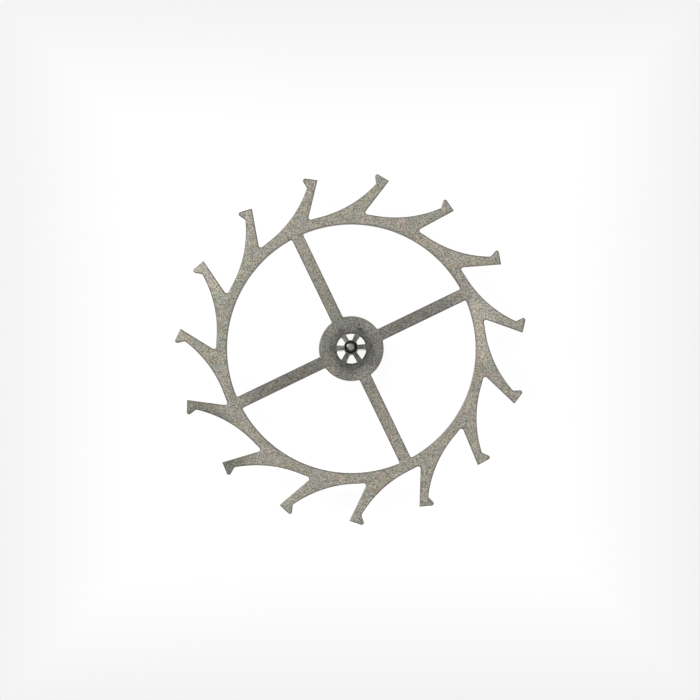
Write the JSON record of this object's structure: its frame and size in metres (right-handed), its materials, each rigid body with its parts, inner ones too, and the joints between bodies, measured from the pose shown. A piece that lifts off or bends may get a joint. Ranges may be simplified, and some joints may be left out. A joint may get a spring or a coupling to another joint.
{
  "type": "watch escape wheel",
  "caption": "Watch escape wheel with club teeth on a thin armed rim, riveted to a leaved pinion whose arbor ends in two fine pivots.",
  "frame": {"origin": "on the arbor's axis at the shoulder of the lower pivot, where the arbor meets its lower jewel", "axes": "+Z along the arbor from the wheel to the pinion, +X and +Y in the plane of the wheel"},
  "size_m": [0.005, 0.005, 0.002],
  "materials": {
    "wheel_steel": "fine matte grain, lapped flat",
    "pinion_steel": "hardened, polished leaves and burnished pivots"
  },
  "bodies": {
    "root": {"escape_wheel": "wheel_steel", "escape_pinion": "pinion_steel"}
  },
  "joints": []
}
